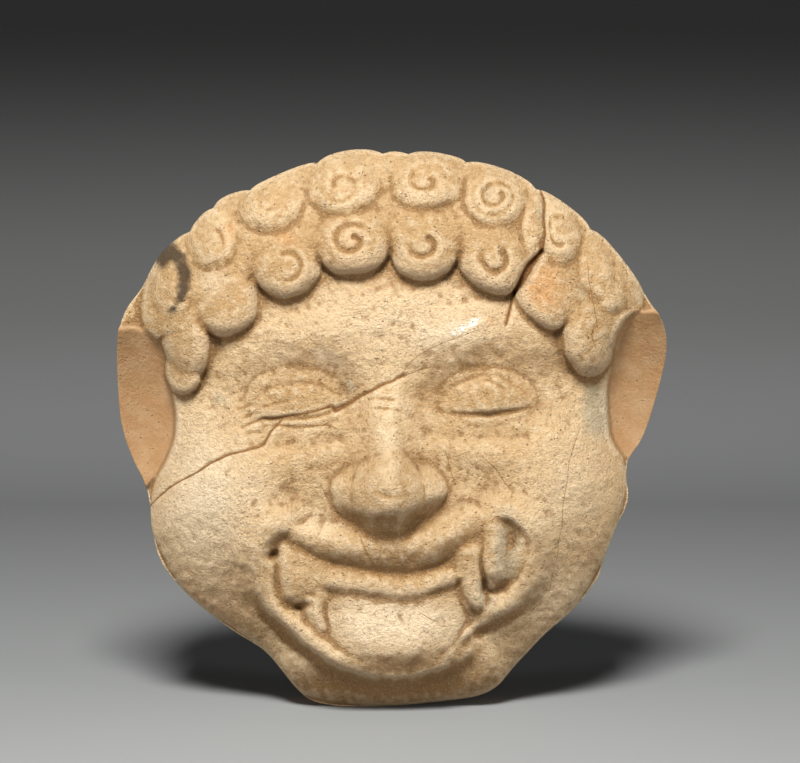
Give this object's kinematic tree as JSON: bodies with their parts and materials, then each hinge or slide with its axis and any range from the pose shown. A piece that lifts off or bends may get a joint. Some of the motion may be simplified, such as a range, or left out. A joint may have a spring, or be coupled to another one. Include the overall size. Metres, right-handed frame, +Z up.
{
  "type": "wall plaque",
  "caption": "Terracotta gorgon mask plaque with curled hair, grinning mouth, tusks and tongue, hollow behind with a flat rim.",
  "frame": {"origin": "on the flat back rim, behind the middle of the hair, where the plaque lies against the wall", "axes": "+Z up to the crown, +X to the right of someone looking at the face, the face looks toward -Y and +Y goes into the wall"},
  "size_m": [0.1764, 0.0538, 0.1809],
  "materials": {
    "terracotta": "unglazed, fine sandy clay, worn"
  },
  "bodies": {
    "root": {"gorgon_plaque": "terracotta"}
  },
  "joints": []
}
